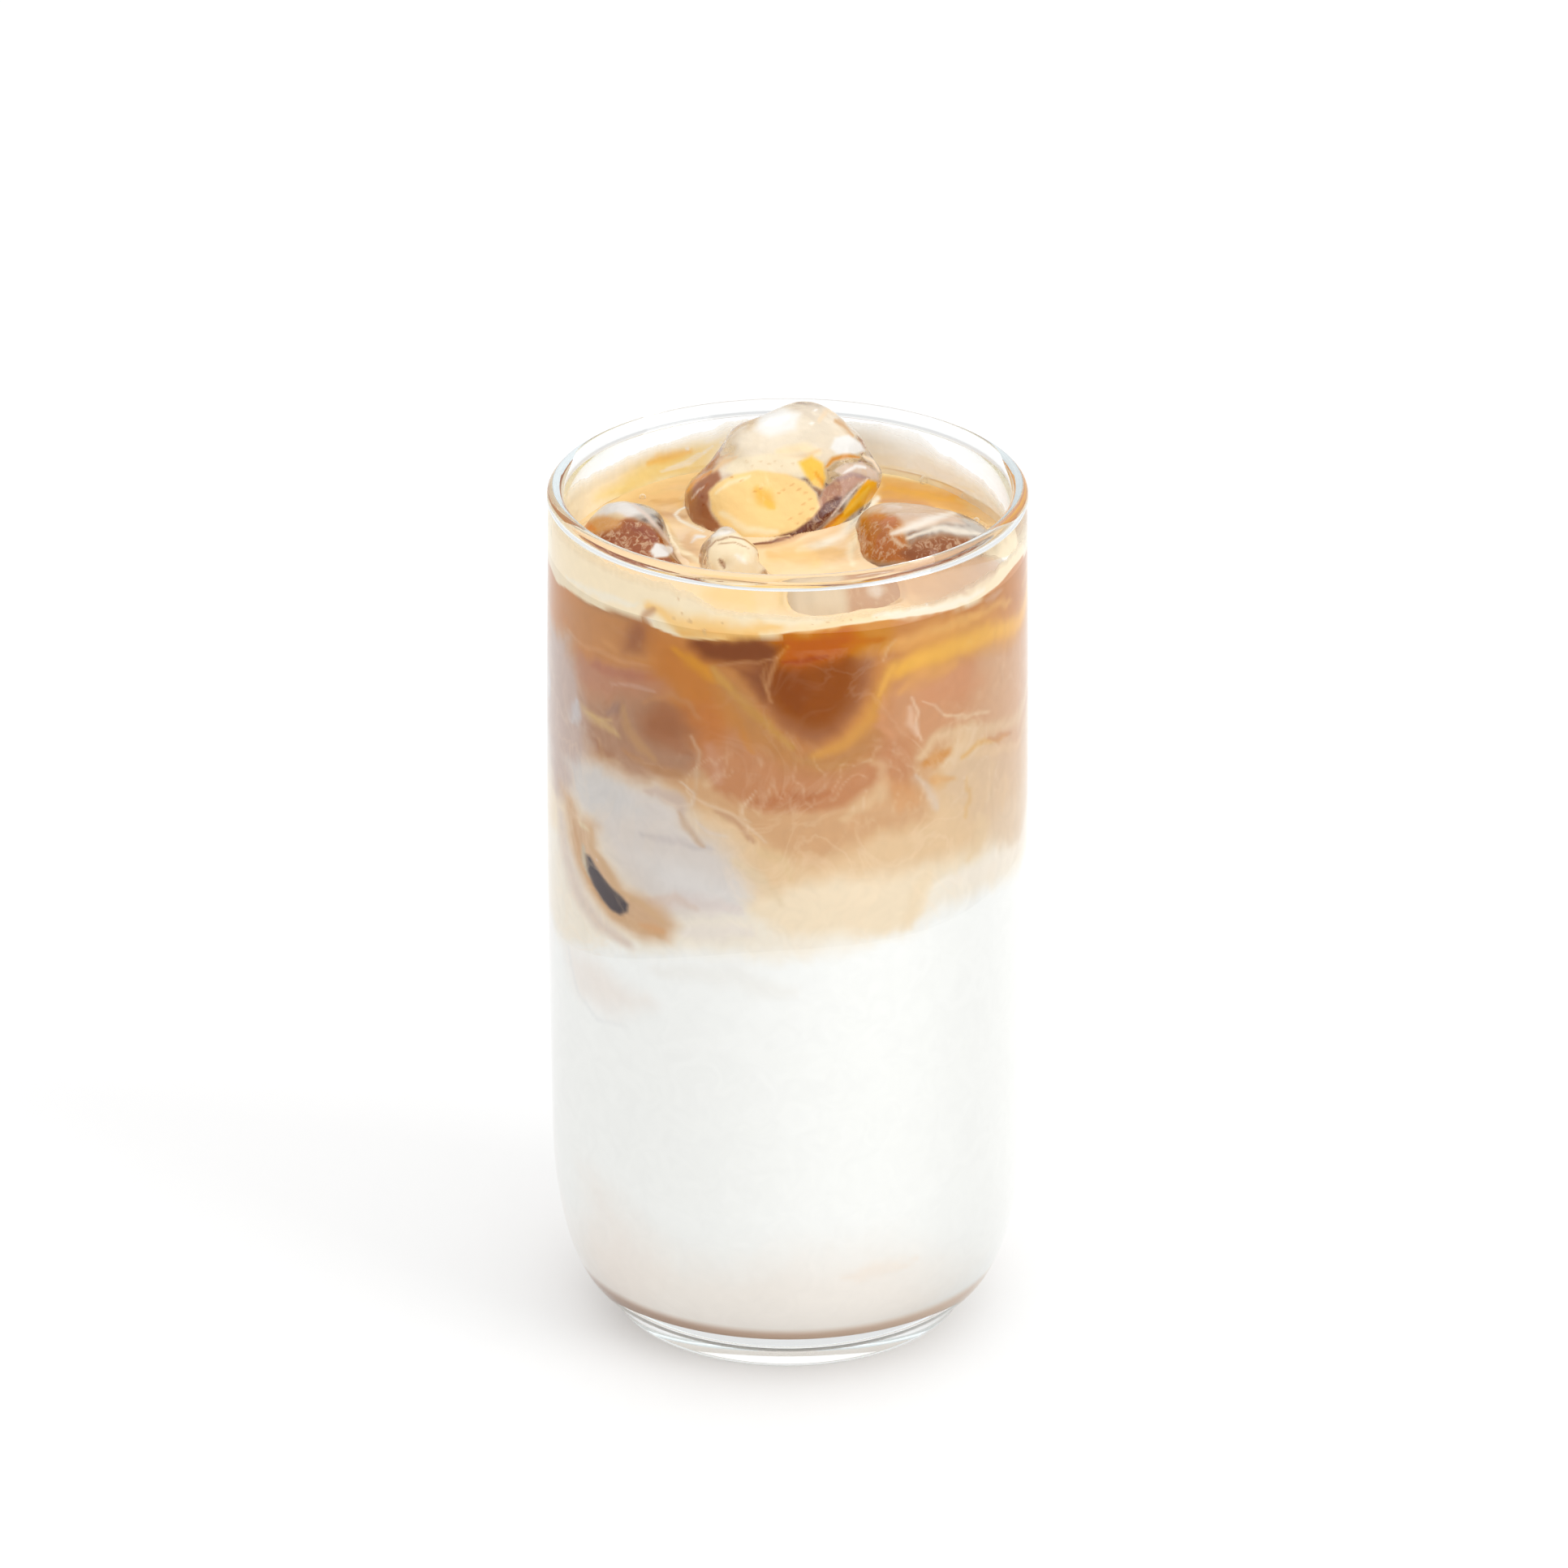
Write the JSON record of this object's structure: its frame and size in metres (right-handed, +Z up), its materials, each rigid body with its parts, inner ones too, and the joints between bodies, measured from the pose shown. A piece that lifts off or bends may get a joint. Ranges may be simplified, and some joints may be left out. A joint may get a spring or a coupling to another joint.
{
  "type": "iced latte in a glass tumbler",
  "caption": "Iced latte in a tall clear tumbler with a rounded base: milk below, swirled coffee above, a pale crema on top with foam on the wall and melting ice standing out of it.",
  "frame": {"origin": "centre of the tumbler's underside, on the surface it stands on", "axes": "+Z up along the tumbler's axis, -Y towards the front that the picture shows, +X to that front's right"},
  "size_m": [0.068, 0.068, 0.1301],
  "materials": {
    "clear_glass": "clear, colourless, fire polished",
    "milk": "opaque liquid, smooth",
    "latte": "cloudy liquid with streaks",
    "coffee": "cloudy dark liquid with streaks",
    "crema": "creamy wet surface",
    "foam": "fine wet foam with small bubbles",
    "ice": "wet and clear, partly clouded"
  },
  "bodies": {
    "root": {"glass": "clear_glass", "milk": "milk", "latte_swirl": "latte", "coffee": "coffee", "crema": "crema", "wall_foam": "foam", "ice_tall": "ice", "ice_left": "ice", "ice_right": "ice", "ice_front": "ice", "ice_low": "ice"}
  },
  "joints": []
}
